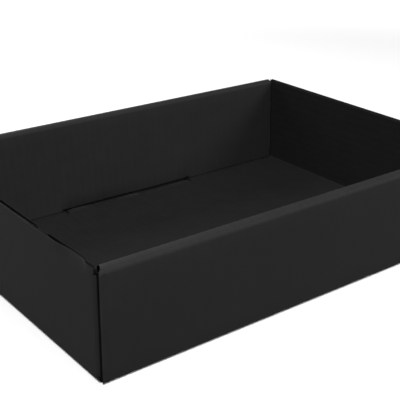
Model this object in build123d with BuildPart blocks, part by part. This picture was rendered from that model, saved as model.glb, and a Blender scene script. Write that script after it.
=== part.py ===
"""An open gift tray for wine bottles, folded from one die-cut sheet of black corrugated board.

The floor, the two long walls and the two end walls are one piece of board. Each long wall is
double: the sheet rises from the floor, rolls over along the rim and comes down again inside, where
a tab locks it in a slot of the floor. The end walls are single and keep a raw cut rim. The corner
tabs of the end walls turn round the corners and are held between the two panels of the long walls.
Above the tabs a flat ear of each end wall closes the corner, beside the open end of the rolled rim.
All four walls lean outward a little.

Millimetres, +Z up, +X along the tray. The origin is the middle of the floor's underside.
"""

import os
from math import atan2, cos, degrees, radians, sin

from build123d import *

os.makedirs("parts", exist_ok=True)

# Size of the tray
LENGTH = 330.0  # over the end walls, along the floor
WIDTH = 232.0  # over the long walls, along the floor
HEIGHT = 76.0
LONG_FLARE = 5.0  # how far the rim of a long wall stands outside the floor
END_FLARE = 3.0  # the same at an end wall

# The board
BOARD = 3.0
FOLD_INSIDE = 0.4  # inner radius of every fold
FLUTE_GAP = 1.9  # the open flute between the two liners of a raw edge
FLUTE_DEPTH = 3.0

# Long walls, measured inward from their outer face
WALL_DOUBLE = 9.2  # both panels and the space between them
TAB_CLEAR = 0.1  # play on each side of a corner tab
CORNER_SETBACK = 0.7  # from the outer face of an end wall to the cut edge of the long wall
INNER_CLEAR = 1.8  # from an end wall to the inner panel
RIM_NOTCH = 2.9  # how far the die cuts the ends back where the sheet rolls over the rim
FLOOR_CLEAR = 0.35  # from the floor to the inner panel

# Locking tab and its slot
LOCK_TAB = 117.0
LOCK_REACH = 2.9  # how far the tab enters the floor
SLOT_LENGTH = 122.0
SLOT_OUTSIDE = 0.25  # from the slot to the tab, on the side of the wall
SLOT_INSIDE = 1.8  # the same on the side of the room
SLOT_CORNER = 2.0

# Corner tabs and the rim of the end walls
CORNER_TAB = 70.0  # length of a corner tab
TAB_BOTTOM = 3.6
TAB_TOP = 72.0
TAB_TAPER = 9.0  # the cut-off corners of a tab's free end
EAR_SETBACK = 4.6  # from the outer face of a long wall to the side edge of an end wall's ear
EAR_SLIT = 0.3  # between a corner tab and the ear above it

# Where the medium bridges a rim's open flute, from the front end at the left and the back end at the right
RIM_BRIDGES = (58.0, 73.0, 171.0)
BRIDGE = 1.6
FLUTE_SHIFT = 0.35  # the open flute lies off the middle, to one side or the other between bridges

FOLD_MIDDLE = FOLD_INSIDE + BOARD / 2
FOLD_OUTSIDE = FOLD_INSIDE + BOARD
LONG_LEAN = degrees(atan2(LONG_FLARE, HEIGHT))
END_LEAN = degrees(atan2(END_FLARE, HEIGHT))
LONG_SLOPE = LONG_FLARE / HEIGHT
END_SLOPE = END_FLARE / HEIGHT
POCKET = BOARD + TAB_CLEAR + BOARD / 2  # from a long wall's outer face to the middle of a corner tab


def fold_start(half_size, lean):
    """Where the floor ends and the fold of a wall that leans outward begins."""
    tilt = radians(lean)
    return half_size - FOLD_OUTSIDE * (1 - sin(tilt)) / cos(tilt)


def long_wall_path():
    """Middle line of a long wall, as (across, up): outer panel and crease, the rest, locking tab."""
    tilt = radians(LONG_LEAN)
    flat = WALL_DOUBLE - 2 * FOLD_OUTSIDE
    rise = (HEIGHT - 2 * FOLD_OUTSIDE - flat * sin(tilt)) / cos(tilt)
    with BuildLine() as outer:
        fold = JernArc((fold_start(WIDTH / 2, LONG_LEAN), BOARD / 2), (1, 0), FOLD_MIDDLE, 90 - LONG_LEAN)
        panel = PolarLine(fold @ 1, rise, angle=90 - LONG_LEAN)
        JernArc(panel @ 1, panel % 1, FOLD_MIDDLE, 90)
    with BuildLine() as inner:
        top = PolarLine(outer.line @ 1, flat, angle=180 - LONG_LEAN)
        crease = JernArc(top @ 1, top % 1, FOLD_MIDDLE, 90)
        drop = ((crease @ 1).Y - BOARD - FLOOR_CLEAR) / cos(tilt)
        PolarLine(crease @ 1, drop, angle=270 - LONG_LEAN)
    with BuildLine() as lock:
        PolarLine(inner.line @ 1, LOCK_REACH, angle=270 - LONG_LEAN)
    return outer.line, inner.line, lock.line


def fanned_strip(path, thickness, half_length, notch):
    """A strip along X on a path in the YZ plane, its ends cut parallel to the leaning end walls.

    Over the crease of the rim the ends slant back by the notch. The outline runs on past the crease,
    so that its top edge cuts nothing.
    """
    shoulder = HEIGHT - FOLD_OUTSIDE
    shoulder_half = half_length + shoulder * END_SLOPE
    top = HEIGHT + FOLD_OUTSIDE
    top_half = half_length + top * END_SLOPE - 2 * notch
    with BuildPart() as strip:
        with BuildSketch(Plane.YZ):
            trace(path, line_width=thickness)
        extrude(amount=LENGTH, both=True)
        with BuildSketch(Plane.XZ):
            with BuildLine():
                Polyline(
                    (-half_length, 0), (half_length, 0), (shoulder_half, shoulder), (top_half, top),
                    (-top_half, top), (-shoulder_half, shoulder), close=True,
                )
            make_face()
        extrude(amount=WIDTH, both=True, mode=Mode.INTERSECT)
    return strip.part


def open_edge_strip(path, half_length, notch=0.0):
    """The same strip of board, with a flute standing open between the liners along both cut ends."""
    with BuildPart() as strip:
        add(fanned_strip(path, BOARD, half_length, notch))
        add(fanned_strip(path, FLUTE_GAP, half_length + FLUTE_DEPTH, notch), mode=Mode.SUBTRACT)
        add(fanned_strip(path, FLUTE_GAP, half_length - FLUTE_DEPTH, notch))
    return strip.part


def end_wall_path():
    """Middle line of an end wall, as (along, up): the fold at the floor, then the panel to the rim."""
    tilt = radians(END_LEAN)
    with BuildLine() as fold:
        JernArc((fold_start(LENGTH / 2, END_LEAN), BOARD / 2), (1, 0), FOLD_MIDDLE, 90 - END_LEAN)
    foot = fold.line @ 1
    with BuildLine() as panel:
        PolarLine(foot, (HEIGHT - BOARD / 2 * sin(tilt) - foot.Y) / cos(tilt), angle=90 - END_LEAN)
    return fold.line, panel.line


def corner_tab_path(height):
    """Middle line of an end wall with both of its corner tabs, seen from above at one height."""
    end = LENGTH / 2 + height * END_SLOPE - BOARD / 2
    side = WIDTH / 2 + height * LONG_SLOPE - POCKET
    with BuildLine() as path:
        FilletPolyline(
            (end - CORNER_TAB, -side), (end, -side), (end, side), (end - CORNER_TAB, side), radius=FOLD_MIDDLE
        )
    return path.line


def rim_flutes(panel):
    """The open flute along an end wall's rim, as lengths between the places where it is bridged."""
    bridges = [WIDTH / 2 - place for place in RIM_BRIDGES]
    ends = [WIDTH] + bridges + [-WIDTH]
    with BuildPart() as flutes:
        for number, (high, low) in enumerate(zip(ends, ends[1:])):
            shift = FLUTE_SHIFT if number % 2 else -FLUTE_SHIFT
            with BuildSketch(Plane.XZ.offset(-high)):
                with BuildLine():
                    over = PolarLine(panel @ 1, FLUTE_DEPTH, angle=90 - END_LEAN, mode=Mode.PRIVATE)
                    PolarLine(over @ 1 + Vector(shift, 0), 2 * FLUTE_DEPTH, angle=270 - END_LEAN)
                trace(line_width=FLUTE_GAP)
            extrude(amount=high - low - BRIDGE)
    return flutes.part


# One long wall, at the back
outer_path, inner_path, lock_path = long_wall_path()
with BuildPart() as long_wall:
    add(open_edge_strip(outer_path, LENGTH / 2 - CORNER_SETBACK, RIM_NOTCH))
    add(open_edge_strip(inner_path, LENGTH / 2 - BOARD - INNER_CLEAR))
    with BuildSketch(Plane.YZ):
        trace(lock_path, line_width=BOARD)
    extrude(amount=LOCK_TAB / 2, both=True)

# The panel of one end wall, at the right, between the folds of its corner tabs, with its two ears
fold_path, panel_path = end_wall_path()
side = WIDTH / 2 - POCKET - FOLD_MIDDLE
ear = WIDTH / 2 - EAR_SETBACK
ear_foot = TAB_TOP + EAR_SLIT
rise = ear_foot * LONG_SLOPE
reach = 2 * HEIGHT * LONG_SLOPE
with BuildPart() as end_panel:
    with BuildSketch(Plane.XZ):
        trace(panel_path, line_width=BOARD)
    extrude(amount=WIDTH, both=True)
    with BuildSketch(Plane.YZ):
        with BuildLine():
            Polyline(
                (-side, 0), (side, 0), (side + rise, ear_foot), (ear + rise, ear_foot),
                (ear + reach, 2 * HEIGHT), (-ear - reach, 2 * HEIGHT), (-ear - rise, ear_foot),
                (-side - rise, ear_foot), close=True,
            )
        make_face()
    extrude(amount=LENGTH, both=True, mode=Mode.INTERSECT)
    add(rim_flutes(panel_path), mode=Mode.SUBTRACT)

# The whole end wall: the fold at the floor, the panel, and the two corner tabs round the corners
free_end = LENGTH / 2 - BOARD / 2 - CORNER_TAB
with BuildPart() as end_wall:
    with BuildSketch(Plane.XZ):
        trace(fold_path, line_width=BOARD)
    extrude(amount=fold_start(WIDTH / 2, LONG_LEAN), both=True)
    for height in (TAB_BOTTOM, TAB_TOP):
        with BuildSketch(Plane.XY.offset(height)):
            trace(corner_tab_path(height), line_width=BOARD)
    loft(ruled=True)
    with BuildSketch(Plane.XZ):
        with BuildLine():
            for corner, inward in ((TAB_BOTTOM, TAB_TAPER), (TAB_TOP, -TAB_TAPER)):
                Polyline(
                    (free_end, corner), (free_end + TAB_TAPER, corner), (free_end, corner + 2 * inward),
                    close=True,
                )
        make_face()
    extrude(amount=WIDTH, both=True, mode=Mode.SUBTRACT)
    add(end_panel.part)

# The tray: the floor with its two slots, and the four walls
slot_width = SLOT_INSIDE + BOARD + SLOT_OUTSIDE
slot_middle = WIDTH / 2 - WALL_DOUBLE + BOARD * LONG_SLOPE / 2 - SLOT_INSIDE + slot_width / 2
with BuildPart() as tray:
    with BuildSketch():
        Rectangle(2 * fold_start(LENGTH / 2, END_LEAN), 2 * fold_start(WIDTH / 2, LONG_LEAN))
        with Locations((0, slot_middle), (0, -slot_middle)):
            RectangleRounded(SLOT_LENGTH, slot_width, SLOT_CORNER, mode=Mode.SUBTRACT)
    extrude(amount=BOARD)
    add(long_wall.part)
    mirror(long_wall.part, about=Plane.XZ)
    add(end_wall.part)
    add(end_wall.part.rotate(Axis.Z, 180))

tray.part.label = "tray"
export_step(tray.part, "parts/tray.step")
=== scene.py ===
from math import atan2, ceil, copysign, cos, pi, radians, sin, sqrt

import bpy
import numpy as np
from mathutils import Matrix, Vector, noise


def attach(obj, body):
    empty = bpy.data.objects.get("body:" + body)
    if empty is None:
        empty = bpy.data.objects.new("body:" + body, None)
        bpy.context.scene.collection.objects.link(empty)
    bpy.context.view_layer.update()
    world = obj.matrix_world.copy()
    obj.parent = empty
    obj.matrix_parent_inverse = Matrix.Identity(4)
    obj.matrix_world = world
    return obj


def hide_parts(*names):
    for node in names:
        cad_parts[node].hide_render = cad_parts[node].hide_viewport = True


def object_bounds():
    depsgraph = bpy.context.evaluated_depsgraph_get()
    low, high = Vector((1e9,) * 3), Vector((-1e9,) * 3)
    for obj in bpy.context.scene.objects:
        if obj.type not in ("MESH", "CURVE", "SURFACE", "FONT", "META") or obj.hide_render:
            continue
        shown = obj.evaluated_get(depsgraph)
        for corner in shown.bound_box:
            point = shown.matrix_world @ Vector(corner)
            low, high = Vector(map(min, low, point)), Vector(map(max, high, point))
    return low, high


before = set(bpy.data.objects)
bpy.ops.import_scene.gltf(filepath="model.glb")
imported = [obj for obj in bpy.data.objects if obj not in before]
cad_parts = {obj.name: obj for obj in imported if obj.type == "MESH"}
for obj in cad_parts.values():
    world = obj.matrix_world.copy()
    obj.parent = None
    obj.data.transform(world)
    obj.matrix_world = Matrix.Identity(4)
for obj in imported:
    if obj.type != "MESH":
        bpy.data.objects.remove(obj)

cad_box = [list(corner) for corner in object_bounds()]

# The sheet
# The whole tray is one die-cut sheet of black corrugated board, 3 mm thick: two paper liners with a
# waved medium glued between them. It is laid out here as its middle surface, in millimetres.
MM = 0.001
BOARD = 3.0
FLUTE_PITCH = 6.5
FLUTE_DEPTH = 3.5  # how far one can look into an open flute at a cut edge
FLUTE_STEP = FLUTE_PITCH / 3  # between places across the flutes

places = []  # of the middle surface, folded
across = []  # how far each place lies across the flutes, along the sheet
reaches = []  # how far the flutes stand open there, if the place is on a cut edge
quads = []


def lay(place, flute, reach=FLUTE_DEPTH):
    """Adds one place of the sheet and gives its number."""
    places.append(place)
    across.append(flute)
    reaches.append(reach)
    return len(places) - 1


def join(row, next_row, turned):
    """Fills the space between two rows of places with board, and gives the second row.

    Every face looks down or outward, so its corners are turned round on the other side of the tray.
    """
    for a, b, c, d in zip(row, row[1:], next_row[1:], next_row):
        quads.append((d, c, b, a) if turned else (a, b, c, d))
    return next_row


def between(breaks, step):
    """Even values from the first break to the last, through every break, at most a step apart."""
    run = [breaks[0]]
    for low, high in zip(breaks, breaks[1:]):
        count = ceil((high - low) / step)
        run += [low + (high - low) * k / count for k in range(1, count)] + [high]
    return run


# The floor
# The middle of the sheet stays flat. Near each long side the die cuts a slot with rounded corners,
# which takes the locking tab of a rolled wall and is a little longer and wider than the tab.
LENGTH = 330.0  # over the end walls, along the floor
WIDTH = 232.0  # over the long walls, along the floor
HEIGHT = 76.0
LONG_SLOPE = 5.0 / HEIGHT  # how far the walls lean outward
END_SLOPE = 3.0 / HEIGHT
LONG_LEAN = atan2(LONG_SLOPE, 1)
END_LEAN = atan2(END_SLOPE, 1)
FOLD_MIDDLE = 1.9  # radius of the sheet's middle at a fold
FOLD_OUTSIDE = FOLD_MIDDLE + BOARD / 2
SLOT_END = 61.0
SLOT_NEAR = 104.95
SLOT_FAR = 110.0
SLOT_CORNER = 2.0
SLOT_REACH = 2.4  # its flutes stand open a little less deep
LOCK_END = 60.4  # half the length of a locking tab
POCKET = BOARD + 0.1 + BOARD / 2  # from a long wall's outer face to the middle of a corner tab
FLUTE_START = 164.4  # places the flutes so that one stands open along each cut end of a long wall
KNOCKED_SIDE = -55.0  # the knocked rim lies in front of this, and the rows are closer there
KNOCKED_STEP = 2.6
FLOOR_STEP = 6.0


def fold_start(half_size, lean):
    """Where the floor ends and the fold of a wall that leans outward begins."""
    return half_size - FOLD_OUTSIDE * (1 - sin(lean)) / cos(lean)


def panel_side(height):
    """Half the width of an end wall at a height, between the folds of its corner tabs."""
    return WIDTH / 2 - POCKET - FOLD_MIDDLE + height * LONG_SLOPE


def slot_place(x, y):
    """Moves a square corner of a slot onto its rounded corner."""
    slot_middle = (SLOT_NEAR + SLOT_FAR) / 2
    past_x = abs(x) - (SLOT_END - SLOT_CORNER)
    past_y = abs(abs(y) - slot_middle) - ((SLOT_FAR - SLOT_NEAR) / 2 - SLOT_CORNER)
    far = sqrt(past_x ** 2 + past_y ** 2)
    at_corner = 0 < past_x <= SLOT_CORNER and 0 < past_y <= SLOT_CORNER
    if not at_corner or far <= SLOT_CORNER:
        return x, y
    pull = 1 - SLOT_CORNER / far
    outward = copysign(1, y) * copysign(1, abs(y) - slot_middle)
    return x - past_x * pull * copysign(1, x), y - past_y * pull * outward


floor_end = fold_start(LENGTH / 2, END_LEAN)
floor_side = fold_start(WIDTH / 2, LONG_LEAN)
column_breaks = [SLOT_END - SLOT_CORNER, LOCK_END, SLOT_END, floor_end]
columns = between([-x for x in reversed(column_breaks)] + column_breaks, FLUTE_STEP)
slot_breaks = [
    SLOT_NEAR, SLOT_NEAR + SLOT_CORNER, SLOT_FAR - SLOT_CORNER, panel_side(BOARD / 2), SLOT_FAR,
]
front_breaks = [-floor_side] + [-y for y in reversed(slot_breaks)] + [KNOCKED_SIDE]
back_breaks = [KNOCKED_SIDE] + slot_breaks + [floor_side]
rows = between(front_breaks, KNOCKED_STEP) + between(back_breaks, FLOOR_STEP)[1:]
first_slot, last_slot = columns.index(-SLOT_END), columns.index(SLOT_END)

floor_rows = []
for y in rows:
    row = []
    for x in columns:
        open_slot = SLOT_NEAR < abs(y) < SLOT_FAR and abs(x) < SLOT_END
        place = (*slot_place(x, y), BOARD / 2)
        row.append(None if open_slot else lay(place, x + FLUTE_START, SLOT_REACH))
    floor_rows.append(row)
for y, next_y, row, next_row in zip(rows, rows[1:], floor_rows, floor_rows[1:]):
    if SLOT_NEAR < abs(y + next_y) / 2 < SLOT_FAR:
        join(row[: first_slot + 1], next_row[: first_slot + 1], turned=True)
        join(row[last_slot:], next_row[last_slot:], turned=True)
    else:
        join(row, next_row, turned=True)

# The long walls
# Each is a strip of the sheet that rises from the floor, rolls over along the rim and comes down
# inside, where a tab locks it in the slot. Creases crush the flutes, so the folds are small.
WALL_DOUBLE = 9.2  # over both panels
CORNER_SETBACK = 0.7  # from the outer face of an end wall to the cut edge of the outer panel
PANEL_CLEAR = 0.4  # from an end wall to the last column of a long wall's panel
INNER_CLEAR = 1.8  # from an end wall to the inner panel
CORNER_ROUND = 0.5  # how much of the cut corner at the floor the die takes away
FLOOR_CLEAR = 0.35  # from the floor to the inner panel
LOCK_REACH = 2.9  # how far the tab enters the floor
PRESSED_EDGE = 2.1  # how much of the inner panel's lower edge is pressed thin over the locking tab
PRESSED_STEP = 0.35  # how sharply the pressed edge sets in
FOLD_STEPS = 6  # for a right angle
PANEL_STEP = 10.0  # between stations up or down a panel
NARROW_STEP = 0.85  # the same on a stretch that is shorter than that
SHALLOW = 0.6  # reach of an open flute that runs straight into a fold


def clamp(value):
    """The value itself between nothing and one, and else the nearer of these two."""
    return min(max(value, 0.0), 1.0)


def bent(legs):
    """Middle line of a strip bent up from the floor, as stations (out, up, run).

    Each leg is a turn and the straight stretch after it. The run is the length of strip so far.
    """
    out, up, heading, run = 0.0, BOARD / 2, 0.0, 0.0
    stations = []
    for turn, straight in legs:
        steps = round(turn / (pi / 2) * FOLD_STEPS)
        for _ in range(steps):
            half = turn / steps / 2
            out += 2 * FOLD_MIDDLE * sin(half) * cos(heading + half)
            up += 2 * FOLD_MIDDLE * sin(half) * sin(heading + half)
            heading += 2 * half
            run += 2 * FOLD_MIDDLE * half
            stations.append((out, up, run))
        count = ceil(straight / (PANEL_STEP if straight > PANEL_STEP else NARROW_STEP))
        for _ in range(count):
            out += straight / count * cos(heading)
            up += straight / count * sin(heading)
            run += straight / count
            stations.append((out, up, run))
    return stations


rim_flat = WALL_DOUBLE - 2 * FOLD_OUTSIDE
rise = (HEIGHT - 2 * FOLD_OUTSIDE - rim_flat * sin(LONG_LEAN)) / cos(LONG_LEAN)
crease_part = pi / 2 * (FOLD_STEPS - 1) / FOLD_STEPS  # what the outer panel takes of the rim's crease
outer_legs = [(pi / 2 - LONG_LEAN, rise), (crease_part, 0)]
roll_legs = outer_legs + [(pi / 2 - crease_part, rim_flat)]
rim_inner = bent(roll_legs + [(pi / 2, 0)])[-1][1]
drop = (rim_inner - BOARD - FLOOR_CLEAR) / cos(LONG_LEAN)
inner_legs = [
    (pi / 2, drop - PRESSED_EDGE - PRESSED_STEP), (0, PRESSED_STEP), (0, PRESSED_STEP),
    (0, PRESSED_EDGE - PRESSED_STEP),
]
outer_stations = bent(outer_legs)
inner_stations = bent(roll_legs + inner_legs)[len(outer_stations):]
crease_run = bent(outer_legs[:1])[-1][2]

# A column is a share of half the panel, and one of what lies beyond the end wall's inner face.
panel_columns = [(x / floor_end, 0) for x in columns]
outer_columns = [(-1, -1), (-1, -0.5)] + panel_columns + [(1, 0.5), (1, 1)]


def along(column, up, run):
    """Place along a long wall of one of its columns; its ends lean like the end walls.

    What lies beyond the end wall's inner face is cut round at the floor and slants back over the rim.
    """
    panel, beyond = column
    fold_turn = min(run / FOLD_MIDDLE, pi / 2)
    rim_turn = max(0.0, (run - crease_run) / FOLD_MIDDLE)
    over_rim = (run - crease_run - FOLD_MIDDLE * pi / 2) / rim_flat
    narrower = clamp(over_rim) * (INNER_CLEAR - PANEL_CLEAR)
    keep = (1 - CORNER_ROUND * (1 - sin(fold_turn))) * cos(min(rim_turn, pi / 2))
    end = LENGTH / 2 - BOARD - PANEL_CLEAR + up * END_SLOPE
    return panel * (end - narrower) + beyond * keep * (BOARD + PANEL_CLEAR - CORNER_SETBACK)


def wall_row(side, row_columns, station, reach=FLUTE_DEPTH):
    """Lays a row of places along a long wall, at one station of its strip."""
    out, up, run = station
    y = side * (floor_side + out)
    return [
        lay((along(column, up, run), y, up), along(column, 0, run) + FLUTE_START, reach)
        for column in row_columns
    ]


out, up, run = inner_stations[-1]
lock_drop = LOCK_REACH * cos(LONG_LEAN)
lock_tip = (out - lock_drop * LONG_SLOPE, up - lock_drop, run)
lock_columns = [k for k, x in enumerate(columns) if abs(x) <= LOCK_END]
at_floor = (0.0, BOARD / 2, 0.0)
for side in (-1, 1):
    floor_row = floor_rows[-1] if side > 0 else floor_rows[0]
    left_corner = wall_row(side, outer_columns[:2], at_floor, SHALLOW)
    right_corner = wall_row(side, outer_columns[-2:], at_floor, SHALLOW)
    row = left_corner + floor_row + right_corner
    for station in outer_stations:
        reach = SHALLOW if station == outer_stations[-1] else FLUTE_DEPTH
        row = join(row, wall_row(side, outer_columns, station, reach), turned=side > 0)
    row = row[2:-2]
    for station in inner_stations:
        row = join(row, wall_row(side, panel_columns, station), turned=side > 0)
    tip = wall_row(side, [panel_columns[k] for k in lock_columns], lock_tip)
    join([row[k] for k in lock_columns], tip, turned=side > 0)

# The end walls
# Each is a single panel of the sheet, folded up, with a raw cut rim. The flutes run level along it.
# Its corner tabs turn round the corners and are held between the two panels of the long walls.
TAB_LENGTH = 70.0
TAB_BOTTOM = 3.6
TAB_TOP = 72.0
TAB_TAPER = 9.0  # the cut-off corners of a tab's free end
TAB_STEP = 7.0
EAR_FOOT = 72.3  # above this the panel reaches past the fold, as a flat ear beside the rolled rim
EAR_SETBACK = 4.6  # from the outer face of a long wall to the side edge of an ear

heights = between([TAB_BOTTOM, TAB_TOP, EAR_FOOT, HEIGHT - BOARD / 2 * sin(END_LEAN)], FLUTE_STEP)
panel_rows = [k for k, y in enumerate(rows) if abs(y) <= panel_side(BOARD / 2)]
fold_side = POCKET + FOLD_MIDDLE  # from a long wall's outer face to the start of a tab's fold
ear_width = fold_side - EAR_SETBACK
tab_straight = TAB_LENGTH - BOARD / 2 - FOLD_MIDDLE
tab_path = []  # round the corner and along the long wall, as (back, over)
for k in range(FOLD_STEPS + 1):
    turn = k / FOLD_STEPS * pi / 2
    tab_path.append((FOLD_MIDDLE * (1 - cos(turn)), FOLD_MIDDLE * sin(turn)))
for back in between([0.0, tab_straight - TAB_TAPER, tab_straight], TAB_STEP)[1:]:
    tab_path.append((FOLD_MIDDLE + back, FOLD_MIDDLE))
end_fold = bent([(pi / 2 - END_LEAN, 0)])
fold_out, fold_up, fold_run = end_fold[-1]

for end in (-1, 1):
    row = [floor_row[-1] if end > 0 else floor_row[0] for floor_row in floor_rows]
    for out, up, run in end_fold:
        reach = SHALLOW if up == fold_up else FLUTE_DEPTH
        flute = end * (floor_end + run) + FLUTE_START
        next_row = [lay((end * (floor_end + out), y, up), flute, reach) for y in rows]
        row = join(row, next_row, turned=end < 0)
    row = [row[k] for k in panel_rows]
    front_edge, back_edge = [], []
    for up in heights:
        y_scale = panel_side(up) / panel_side(BOARD / 2)
        x = end * (floor_end + fold_out + (up - fold_up) * END_SLOPE)
        flute = end * (floor_end + fold_run + (up - fold_up) / cos(END_LEAN)) + FLUTE_START
        slit = TAB_TOP <= up <= EAR_FOOT
        reach = SHALLOW if slit else FLUTE_DEPTH
        next_row = [lay((x, rows[k] * y_scale, up), flute, reach) for k in panel_rows]
        if up < EAR_FOOT:
            join(row, next_row, turned=end < 0)
            front_edge.append(next_row[0])
            back_edge.append(next_row[-1])
        else:
            front_ear, back_ear = (
                [lay((x, side * (panel_side(up) + width), up), flute, SHALLOW)
                 for width in (ear_width / 2, ear_width)]
                for side in (-1, 1)
            )
            if slit:
                join(row, next_row, turned=end < 0)
            next_row = front_ear[::-1] + next_row + back_ear
            if not slit:
                join(row, next_row, turned=end < 0)
        row = next_row

    for side, edge in ((-1, front_edge), (1, back_edge)):
        row = edge
        for back, over in tab_path:
            taper = max(0.0, back - FOLD_MIDDLE - tab_straight + TAB_TAPER)
            next_row = []
            for number in edge:
                x, _, up = places[number]
                share = (up - TAB_BOTTOM) / (TAB_TOP - TAB_BOTTOM)
                cut_up = TAB_BOTTOM + taper + share * (TAB_TOP - TAB_BOTTOM - 2 * taper)
                y = side * (WIDTH / 2 - fold_side + over + cut_up * LONG_SLOPE)
                x = x + end * ((cut_up - up) * END_SLOPE - back)
                next_row.append(lay((x, y, cut_up), across[number] + end * (cut_up - up)))
            row = join(row, next_row, turned=(end > 0) == (side > 0))

# Handling
# The sheet never lies quite flat: the panels bow a little, always inward, and some edges are pressed.
# The left rim has been knocked near the front corner, where the top of the panel is bent and crushed.
# A range of four values says where a mark starts, is full, begins to fade and ends.
OUTER_PANEL = floor_side + 0.5  # places farther from the middle than this are on an outer panel
END_WALL = floor_end + 2.0  # and those farther along than this are on an end wall
BOW = 0.55  # of the long walls' outer panels
BOW_WAVER = 0.4  # the share of it that wavers
BOW_LENGTH = 90.0  # to each side of the middle
BOW_UP = (8.0, 42.0, 42.0, 74.0)
END_BOW = 0.15
END_BOW_WAVER = 0.3
END_BOW_LENGTH = 100.0
END_BOW_UP = (6.0, 60.0, 60.0, 90.0)
DENT = (-109.5, -102.0, -91.0, -72.0)  # along the left rim
DENT_FOOT = 67.0
DENT_BEND = 1.3  # how much the dent curves over towards the rim
DENT_IN = 1.7
DENT_DOWN = 0.35
DENT_PINCH = 0.35
DENT_RAGGED = 0.12
RIM_PRESSED = 0.3  # the left rim is pressed together in two places, where its flute line breaks
RIM_BREAKS = (-63.0, -105.5)
BREAK_FULL = 0.8  # to each side of its middle
BREAK_END = 3.0
EAR_PRESSED = 0.35  # the side edges of the ears are pressed thin, towards their outer face
FLOOR_BOW_UP = 1.4  # the floor stands up along the back slot, most at its left
FLOOR_BOW = (-66.0, -53.0, -48.0, 36.0)
FLOOR_BOW_DEEP = (45.0, 102.0, 106.0, 112.0)  # the same across the tray
SLOT_CLOSED = 1.5  # the floor is pushed against the wall at the left end of the back slot
SLOT_CLOSING = (-66.0, -61.0, -57.0, -40.0)
SLOT_CLOSING_DEEP = (92.0, 104.0, 106.2, 107.5)
TAB_PRESSED = 0.55  # the edge above the locking tabs is pressed thin, and outward
TAB_OUTWARD = 0.75
TAB_FADE = 5.0
TAB_LOWER = 0.55  # how much lower the pressed edge lies in the tab's right half
TAB_LOWERED = (-8.0, 16.0, 58.0, 62.0)
TAB_LOWERED_RISE = 1.5
TAB_KICK = 2.5  # the tip stands back against its slot's near edge, so that nothing shines through
SLOT_PLAY = 0.5  # what lies this far inside a slot's edges is the locking tab
WAVER = 0.013  # how quickly it changes, over each millimetre
WAVER_UP = 0.02
RAGGED = 0.12  # the same for the dent
RAGGED_UP = 0.1


def smooth(share):
    """Makes an even rise from nothing to one a smooth one."""
    share = clamp(share)
    return share * share * (3 - 2 * share)


def swell(value, start, full, leaves, end):
    """Rises smoothly from nothing at the start to one, stays, and falls to nothing at the end."""
    if value < full:
        return smooth((value - start) / (full - start))
    return smooth((end - value) / (end - leaves))


wall_foot = inner_stations[-1][1]  # the lower edge of the inner panels
pressed_top = wall_foot + PRESSED_EDGE
# Besides the board's thickness, each place keeps how far it lies in the pressed recess over a locking
# tab; the paper paints that recess near black, as painted shade.
thickness, painted_recess_shade = [], []
for number, (x, y, z) in enumerate(places):
    thick, pressed = 1.0, 0.0
    x_side, y_side = copysign(1, x), copysign(1, y)
    waver = noise.noise(Vector((x * WAVER, y * WAVER, z * WAVER_UP + 5)))
    if abs(y) > OUTER_PANEL:
        bow = BOW * swell(z, *BOW_UP) * smooth(1 - abs(x) / BOW_LENGTH)
        y -= y_side * bow * (1 - BOW_WAVER + BOW_WAVER * waver)
    if abs(x) > END_WALL and abs(y) < panel_side(0):
        bow = END_BOW * swell(z, *END_BOW_UP) * smooth(1 - abs(y) / END_BOW_LENGTH)
        x -= x_side * bow * (1 - END_BOW_WAVER + END_BOW_WAVER * waver)
    if x < -floor_end and abs(y) < panel_side(HEIGHT):  # the knocked rim
        reach_up = clamp((z - DENT_FOOT) / (HEIGHT - DENT_FOOT))
        ragged = 1 + DENT_RAGGED * noise.noise(Vector((y * RAGGED, z * RAGGED_UP, 3)))
        knock = swell(y, *DENT) * reach_up ** DENT_BEND * ragged
        x += DENT_IN * knock
        z -= DENT_DOWN * knock
        thick -= DENT_PINCH * knock
        for place in RIM_BREAKS:
            near = smooth((BREAK_END - abs(y - place)) / (BREAK_END - BREAK_FULL))
            press = RIM_PRESSED * near * reach_up ** 2
            thick -= press
            x -= BOARD / 2 * press
    ear_share = (abs(y) - panel_side(z)) / ear_width
    if abs(x) > END_WALL and z >= EAR_FOOT and 0 < ear_share < 1.01:
        press = EAR_PRESSED * ear_share
        thick -= press
        x += x_side * BOARD / 2 * press
    if SLOT_NEAR + SLOT_PLAY < abs(y) < SLOT_FAR - SLOT_PLAY and z < pressed_top:
        pressed = smooth(1 - (abs(x) - LOCK_END) / TAB_FADE)
        pressed *= smooth((pressed_top - z) / PRESSED_STEP)
        z -= TAB_LOWER * swell(x, *TAB_LOWERED) * smooth((z - wall_foot) / TAB_LOWERED_RISE)
        kick = 0
        if z < wall_foot - 1:  # its tip
            kick = TAB_KICK - (SLOT_CLOSED * swell(x, *SLOT_CLOSING) if y > 0 else 0)
        else:
            thick -= TAB_PRESSED * pressed
        y += y_side * (TAB_OUTWARD * pressed - kick)
    if z == BOARD / 2 and 0 < y < floor_side:  # the floor
        z += FLOOR_BOW_UP * swell(x, *FLOOR_BOW) * swell(y, *FLOOR_BOW_DEEP)
        y += SLOT_CLOSED * swell(x, *SLOT_CLOSING) * swell(y, *SLOT_CLOSING_DEEP)
    places[number] = (x, y, z)
    thickness.append(thick)
    # the pressed share, kept as painted shade for the recess
    painted_recess_shade.append(pressed)

# The liners and the cut edges
# Both liners follow the middle surface and sink a little between the glue lines of the flutes. Along
# every cut the die leaves the thin edges of the two liners, with the flutes standing open between.
LINER = 0.33
SINK = 0.07
SOFT_EDGE = 0.3  # the die rounds the outer corner of a liner
SOFT_SHARE = 0.4  # of the liner's thickness
MITRE_LIMIT = 0.9  # keeps the mitre short at a sharp corner

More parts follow.
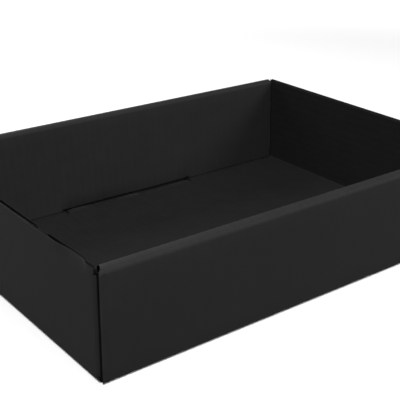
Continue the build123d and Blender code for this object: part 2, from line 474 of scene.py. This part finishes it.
# The normals of the middle surface, each from the faces round its place
middle = np.array(places)
flute = np.array(across)
thick = np.array(thickness)
reach = np.array(reaches)
faces = np.array(quads)
facing = np.cross(
    middle[faces[:, 2]] - middle[faces[:, 0]], middle[faces[:, 3]] - middle[faces[:, 1]],
)
normal = np.zeros_like(middle)
for corner in range(4):
    np.add.at(normal, faces[:, corner], facing)
normal /= np.linalg.norm(normal, axis=1)[:, None]

# The loops of places along the cuts, which are the sides that only one face has
sides = {pair for quad in quads for pair in zip(quad, quad[1:] + quad[:1])}
next_on_cut = {a: b for a, b in sorted(sides) if (b, a) not in sides}
loops = []
while next_on_cut:
    start, number = next_on_cut.popitem()
    loops.append([start])
    while number != start:
        loops[-1].append(number)
        number = next_on_cut.pop(number)


def unit(vectors):
    """The same directions, each with length one."""
    return vectors / np.maximum(np.linalg.norm(vectors, axis=1), 1e-9)[:, None]


def into_sheet(loop):
    """Direction from each place of a cut edge into the sheet, mitred at its corners."""
    line = middle[loop]
    before = unit(line - np.roll(line, 1, axis=0))
    after = unit(np.roll(line, -1, axis=0) - line)
    both = unit(np.cross(normal[loop], before)) + unit(np.cross(normal[loop], after))
    size = (both ** 2).sum(axis=1)
    inward = both * (2 / np.maximum(size, MITRE_LIMIT))[:, None]
    slit_end = size < 0.1  # where the cut turns straight back
    inward[slit_end] = before[slit_end]
    return inward


half = (BOARD / 2 * thick)[:, None]
wave = np.cos(2 * pi * flute / FLUTE_PITCH)[:, None]
outside = middle + normal * (half - SINK * (1 - wave) / 2)
inside = middle - normal * (half - SINK * (1 + wave) / 2)
count = len(middle)
total = 2 * count
shell = [outside, inside]
shell_faces = [faces, faces[:, ::-1] + count]
OUTER, CUT, INNER = range(3)  # the papers: outside liner, cut edges and medium, inside liner
face_kinds = [np.full(len(faces), OUTER), np.full(len(faces), INNER)]
flute_marks = [flute, flute]
liner_worn = np.zeros(total)
worn = [liner_worn]  # how much a place can be rubbed
# Painted shade: places deep in a gap or an open flute get their colour darkened towards black.
painted_gap_shades = [np.array(painted_recess_shade + painted_recess_shade)]  # how deep it lies in a gap, out of the light's reach

for loop in loops:
    size = len(loop)
    inward = into_sheet(loop)
    line, up, deep = middle[loop], normal[loop], inward * reach[loop][:, None]
    top = (BOARD / 2 * thick[loop])[:, None]
    outside[loop] += inward * SOFT_EDGE
    inside[loop] += inward * SOFT_EDGE
    shell += [
        line + up * (top - SOFT_SHARE * LINER),
        line + up * (top - LINER),
        line + up * (top - LINER) + deep,
        line - up * (top - LINER) + deep,
        line - up * (top - LINER),
        line - up * (top - SOFT_SHARE * LINER),
    ]
    numbers = [np.array(loop)] + [total + k * size + np.arange(size) for k in range(6)]
    numbers.append(np.array(loop) + count)
    kinds = (OUTER, CUT, CUT, CUT, CUT, CUT, INNER)
    for kind, upper, lower in zip(kinds, numbers, numbers[1:]):
        shell_faces.append(np.stack([upper, lower, np.roll(lower, -1), np.roll(upper, -1)], axis=1))
        face_kinds.append(np.full(size, kind))
    flute_marks += [flute[loop]] * 6
    liner_worn[numbers[0]] = liner_worn[numbers[-1]] = 1
    worn.append(np.repeat([1, 1, 0, 0, 1, 1], size))
    # painted shade along the open flute, darkest at its depth
    painted_gap_shades += [reach[loop] / FLUTE_DEPTH * share for share in (0, 0.2, 1, 1, 0.2, 0)]
    total += 6 * size

# The medium
# Looking into a cut edge, the waved paper shows between the liners. Where the cut runs along a flute
# it follows one side of the channel and crosses over now and then, as it does on both raw rims.
MEDIUM = 0.24
MEDIUM_STEPS = 4
MEDIUM_FRONT = 0.03  # where it starts and ends, as a share of the open flute's depth
MEDIUM_BACK = 0.99
WAVE_PARTS = 3  # between two places, where the cut runs across the flutes
DRIFT = 0.2  # how far a cut wanders across the flutes, as a share of their pitch
CROSSINGS = (11.5, 53.0, 68.0, 171.0)  # along an end wall's rim, from its front corner
CROSSING = 2.5  # length of one
RIM_SHIFT = 4.65  # the die cuts both rims where a flute is widest


def rim_drift(y, z):
    """How far a raw rim has drifted across the flutes."""
    drift = DRIFT * FLUTE_PITCH * noise.noise(Vector((y * 0.03, z * 0.03, 9)))
    if z > EAR_FOOT and abs(y) < panel_side(HEIGHT) + ear_width:
        drift += RIM_SHIFT
        for number, place in enumerate(CROSSINGS):
            share = clamp((y + WIDTH / 2 - place) / CROSSING + 0.5)
            drift += (1 if number % 2 else -1) * FLUTE_PITCH / 2 * share
    return drift


for loop in loops:
    inward = into_sheet(loop)
    line, up, deep = middle[loop], normal[loop], inward * reach[loop][:, None]
    room = BOARD / 2 * thick[loop] - LINER - MEDIUM / 2
    marks = flute[loop] + np.array([rim_drift(y, z) for _, y, z in line])
    length = np.linalg.norm(np.roll(line, -1, axis=0) - line, axis=1)
    crossing = np.abs(np.roll(flute[loop], -1) - flute[loop]) / length
    steep = np.sqrt(np.maximum(0.0, 1 - crossing ** 2))  # the flutes that run into the cut
    starts, shares = [], []
    for k in range(len(loop)):
        parts = WAVE_PARTS if crossing[k] > 0.5 and length[k] > 1 else 1
        starts += [k] * parts
        shares += [part / parts for part in range(parts)]
    shares = np.array(shares)
    line, up, deep, room, marks, steep = (
        (values[starts].T * (1 - shares) + np.roll(values, -1, axis=0)[starts].T * shares).T
        for values in (line, up, deep, room, marks, steep)
    )
    size = len(starts)
    section, painted_flute_shades = [], []
    depth = np.linalg.norm(deep, axis=1)
    for share in np.linspace(MEDIUM_FRONT, MEDIUM_BACK, MEDIUM_STEPS + 1):
        level = room * np.cos(2 * pi * (marks + share * depth * steep) / FLUTE_PITCH)
        section.append(line + deep * share + up * level[:, None])
        # painted shade, darker deeper into the open flute
        painted_flute_shades.append(np.clip(share * depth / FLUTE_DEPTH, 0, 1))
    upper = [place + up * MEDIUM / 2 for place in reversed(section)]
    lower = [place - up * MEDIUM / 2 for place in section]
    ring = upper + lower
    numbers = [total + k * size + np.arange(size) for k in range(len(ring))]
    for one, other in zip(numbers, numbers[1:] + numbers[:1]):
        shell_faces.append(np.stack([one, other, np.roll(other, -1), np.roll(one, -1)], axis=1))
        face_kinds.append(np.full(size, CUT))
    shell += ring
    flute_marks += [marks] * len(ring)
    worn.append(np.zeros(size * len(ring)))
    painted_gap_shades += painted_flute_shades[::-1] + painted_flute_shades
    total += size * len(ring)

# The board
# Liners, edges and medium are one mesh with three papers on it, since the tray is one piece of board.
# It rests flat on the ground, and its rolls are pressed to one height.
SHARP = radians(40)

board_mesh = bpy.data.meshes.new("board")
shell = np.clip(np.concatenate(shell), *(np.array(cad_box) / MM))
board_mesh.from_pydata((shell * MM).tolist(), [], np.concatenate(shell_faces).tolist())
board_mesh.polygons.foreach_set("material_index", np.concatenate(face_kinds).astype(np.int32))
for name, values in (("across_flutes", flute_marks), ("cut_edge", worn), ("painted_shade_in_gaps", painted_gap_shades)):
    attribute = board_mesh.attributes.new(name, "FLOAT", "POINT")
    attribute.data.foreach_set("value", np.concatenate(values).astype(np.float32))
board_mesh.shade_smooth()
board_mesh.set_sharp_from_angle(angle=SHARP)
board = bpy.data.objects.new("board", board_mesh)
bpy.context.scene.collection.objects.link(board)
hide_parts("tray")
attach(board, "root")

# The black paper
# The liners are dyed through and uncoated: matte, with fine fibres, a cloudy tone and faint streaks
# over the flutes. The inside one is darker, as painted shade for the inside of the tray. Cut edges
# are rougher, and rubbed grey in places. Deep in gaps and open flutes the colour is painted near
# black, as shade.
STREAK = 0.06  # of the tone, over the flutes
RUBBED_FROM = 0.42  # of the noise that places the rubbing
RUBBED_TO = 0.68
RUBBED = (0.022, 0.022, 0.0225, 1)
# painted shade: the colour of places deep in a gap
PAINTED_GAP_SHADE_COLOUR = (0.0003, 0.0003, 0.0003, 1)
FIBRE_RELIEF = 0.35


def add_node(tree, kind, inputs=None, **settings):
    """Adds a node; each of its inputs takes another node's output or a plain value."""
    node = tree.nodes.new(kind)
    for name, value in settings.items():
        setattr(node, name, value)
    for socket, source in (inputs or {}).items():
        if isinstance(source, bpy.types.NodeSocket):
            tree.links.new(source, node.inputs[socket])
        else:
            node.inputs[socket].default_value = source
    return node


def maths(tree, operation, *inputs):
    """A value worked out from others."""
    node = add_node(tree, "ShaderNodeMath", dict(enumerate(inputs)), operation=operation)
    return node.outputs["Value"]


def mixed(tree, factor, one, other):
    """A colour between two others."""
    inputs = {"Factor": factor, "A": one, "B": other}
    return add_node(tree, "ShaderNodeMix", inputs, data_type="RGBA").outputs["Result"]


paper = bpy.data.node_groups.new("paper", "ShaderNodeTree")
for name, value in (("Fibre", 1.0), ("Cloud", 1.0), ("Streak", 1.0), ("Rub", 0.3)):
    socket = paper.interface.new_socket(name, in_out="INPUT", socket_type="NodeSocketFloat")
    socket.default_value = value
for name in ("Tone", "Wear", "Height"):
    paper.interface.new_socket(name, in_out="OUTPUT", socket_type="NodeSocketFloat")
amount = paper.nodes.new("NodeGroupInput").outputs
paper_out = paper.nodes.new("NodeGroupOutput")
where = add_node(paper, "ShaderNodeTexCoord").outputs["Object"]


def noise_of(scale, **settings):
    """A noise through the paper, finer with a greater scale."""
    inputs = {"Vector": where, "Scale": scale, **settings}
    return add_node(paper, "ShaderNodeTexNoise", inputs).outputs["Fac"]


def centred(source, strength):
    """A value that varies about nothing, times a strength."""
    return maths(paper, "MULTIPLY", maths(paper, "SUBTRACT", source, 0.5), strength)


def total_of(first, *others):
    """All the values added up."""
    for other in others:
        first = maths(paper, "ADD", first, other)
    return first


fibre = noise_of(1700, Detail=5, Roughness=0.65, Distortion=1.2)
cloud = noise_of(90, Detail=6, Roughness=0.6)
broad = noise_of(9, Detail=2)
rub = noise_of(45, Detail=4)
flute_mark = add_node(paper, "ShaderNodeAttribute", attribute_name="across_flutes").outputs["Fac"]
stripe = maths(paper, "COSINE", maths(paper, "MULTIPLY", flute_mark, 2 * pi / FLUTE_PITCH))
streak = maths(paper, "MULTIPLY", maths(paper, "MULTIPLY", stripe, STREAK), amount["Streak"])
fibres, clouds = centred(fibre, amount["Fibre"]), centred(cloud, amount["Cloud"])
tone = total_of(fibres, clouds, centred(broad, amount["Cloud"]), streak, 0.5)
rub_places = add_node(
    paper, "ShaderNodeMapRange", {"Value": rub, "From Min": RUBBED_FROM, "From Max": RUBBED_TO},
)
wear = maths(paper, "MULTIPLY", rub_places.outputs["Result"], amount["Rub"])
paper.links.new(tone, paper_out.inputs["Tone"])
paper.links.new(wear, paper_out.inputs["Wear"])
paper.links.new(total_of(fibres, clouds), paper_out.inputs["Height"])


def paper_material(name, dark, light, roughness, specular, bump, amounts):
    """Uncoated paper between two tones, with its fibres raised a little.

    It is rubbed grey in places along the cut edges, and deep in gaps and open flutes its colour is
    painted near black, as shade.
    """
    material = bpy.data.materials.new(name)
    material.use_nodes = True
    tree = material.node_tree
    shader = tree.nodes["Principled BSDF"]
    shader.inputs["Specular IOR Level"].default_value = specular
    group = add_node(tree, "ShaderNodeGroup", node_tree=paper)
    for socket, value in amounts.items():
        group.inputs[socket].default_value = value
    edge = add_node(tree, "ShaderNodeAttribute", attribute_name="cut_edge").outputs["Fac"]
    # painted shade: how deep a place lies in a gap or an open flute
    deep = add_node(tree, "ShaderNodeAttribute", attribute_name="painted_shade_in_gaps").outputs["Fac"]
    colour = mixed(tree, group.outputs["Tone"], (*dark, 1), (*light, 1))
    colour = mixed(tree, maths(tree, "MULTIPLY", edge, group.outputs["Wear"]), colour, RUBBED)
    # paints shade: deep in a gap the colour goes near black
    colour = mixed(tree, maths(tree, "POWER", deep, 0.5), colour, PAINTED_GAP_SHADE_COLOUR)
    tree.links.new(colour, shader.inputs["Base Color"])
    rough = add_node(tree, "ShaderNodeMapRange", {
        "Value": group.outputs["Tone"], "To Min": roughness[0], "To Max": roughness[1],
    })
    tree.links.new(rough.outputs["Result"], shader.inputs["Roughness"])
    raised = add_node(tree, "ShaderNodeBump", {
        "Height": group.outputs["Height"], "Strength": FIBRE_RELIEF, "Distance": bump,
    })
    tree.links.new(raised.outputs["Normal"], shader.inputs["Normal"])
    return material


board_mesh.materials.append(paper_material(
    "black_outside_liner", dark=(0.0060, 0.0060, 0.0061), light=(0.0090, 0.0090, 0.0092),
    roughness=(0.56, 0.7), specular=0.025, bump=0.00012,
    amounts={"Fibre": 0.9, "Cloud": 0.6, "Streak": 1.0},
))
board_mesh.materials.append(paper_material(
    "black_cut_edge", dark=(0.0045, 0.0045, 0.0046), light=(0.0080, 0.0080, 0.0082),
    roughness=(0.8, 0.95), specular=0.02, bump=0.0003,
    amounts={"Fibre": 1.4, "Cloud": 0.8, "Streak": 0.0},
))
# darker than the outside liner: painted shade on the tray's floor and the inner faces of its end
# walls
board_mesh.materials.append(paper_material(
    "black_inside_liner", dark=(0.0036, 0.0036, 0.0037), light=(0.0054, 0.0054, 0.0055),
    roughness=(0.6, 0.75), specular=0.02, bump=0.00015,
    amounts={"Fibre": 1.1, "Cloud": 0.8, "Streak": 1.2},
))

# The studio
# A plain light grey sheet under the tray, lit until it is white, and four large soft boxes around it:
# the strongest high on the front left, two behind and one on the right, so that every side is lit.
# All of it is in metres.
SHEET_HALF = 4.0
SHEET_EVEN = 0.7
SHEET_FADED = 1.6  # the sheet is paler from here on, to stay white where less light reaches it
SHEET_GREY = (0.3, 0.3, 0.3, 1)
SHEET_PALE = (0.9, 0.9, 0.9, 1)
SHEET_ROUGHNESS = 0.9
LIGHT_AWAY = 2.0
LIGHT_SIZE = 0.8
AIM = Vector((0, 0, 0.04))
SURROUND = 0.05

ground_mesh = bpy.data.meshes.new("ground")
corners = ((-1, -1), (1, -1), (1, 1), (-1, 1))
ground_mesh.from_pydata([(x * SHEET_HALF, y * SHEET_HALF, 0) for x, y in corners], [], [(0, 1, 2, 3)])
ground = bpy.data.objects.new("ground", ground_mesh)
bpy.context.scene.collection.objects.link(ground)
ground_paint = bpy.data.materials.new("ground_paint")
ground_paint.use_nodes = True
ground_tree = ground_paint.node_tree
ground_shader = ground_tree.nodes["Principled BSDF"]
ground_shader.inputs["Roughness"].default_value = SHEET_ROUGHNESS
ground_place = add_node(ground_tree, "ShaderNodeTexCoord").outputs["Object"]
away = add_node(ground_tree, "ShaderNodeVectorMath", {0: ground_place}, operation="LENGTH")
far_off = add_node(
    ground_tree, "ShaderNodeMapRange",
    {"Value": away.outputs["Value"], "From Min": SHEET_EVEN, "From Max": SHEET_FADED},
    interpolation_type="SMOOTHSTEP",
)
sheet_tone = mixed(ground_tree, far_off.outputs["Result"], SHEET_GREY, SHEET_PALE)
ground_tree.links.new(sheet_tone, ground_shader.inputs["Base Color"])
ground_mesh.materials.append(ground_paint)


def soft_light(name, azimuth, elevation, power):
    """A square soft box that faces the tray; azimuth counts from the tray's right, over its back."""
    lamp = bpy.data.lights.new(name, "AREA")
    lamp.shape = "SQUARE"
    lamp.size = LIGHT_SIZE
    lamp.energy = power
    light = bpy.data.objects.new(name, lamp)
    turn, height = radians(azimuth), radians(elevation)
    toward = Vector((cos(height) * cos(turn), cos(height) * sin(turn), sin(height)))
    light.location = AIM + toward * LIGHT_AWAY
    light.rotation_euler = toward.to_track_quat("Z", "Y").to_euler()
    bpy.context.scene.collection.objects.link(light)


soft_light("front_left", azimuth=225, elevation=60, power=128.5)
soft_light("back", azimuth=90, elevation=35, power=44.0)
soft_light("back_low", azimuth=90, elevation=12, power=22.0)
soft_light("front_right", azimuth=315, elevation=30, power=49.0)
world = bpy.data.worlds.new("surround")
world.use_nodes = True
world.node_tree.nodes["Background"].inputs["Color"].default_value = (1, 1, 1, 1)
world.node_tree.nodes["Background"].inputs["Strength"].default_value = SURROUND
bpy.context.scene.world = world
bpy.context.scene.view_settings.view_transform = "Standard"

# The camera
# It stands before the left front corner, about half a metre away, and looks down into the tray, so
# that the picture crops the right of the front wall and the left of the back wall.
camera = bpy.data.objects.new("camera", bpy.data.cameras.new("camera"))
camera.data.sensor_width = 36
camera.data.lens = 79.56
camera.data.clip_start = 0.01
yaw, pitch, tilt = radians(37.80), radians(22.91), radians(0.61)
ahead = Vector((sin(yaw) * cos(pitch), cos(yaw) * cos(pitch), -sin(pitch)))
level_right = Vector((cos(yaw), -sin(yaw), 0))
level_up = level_right.cross(ahead)
right = level_right * cos(tilt) + level_up * sin(tilt)
upward = level_up * cos(tilt) - level_right * sin(tilt)
camera.matrix_world = Matrix((right, upward, -ahead)).transposed().to_4x4()
camera.matrix_world.translation = Vector((-0.3799, -0.4817, 0.2933))
bpy.context.scene.collection.objects.link(camera)
bpy.context.scene.camera = camera
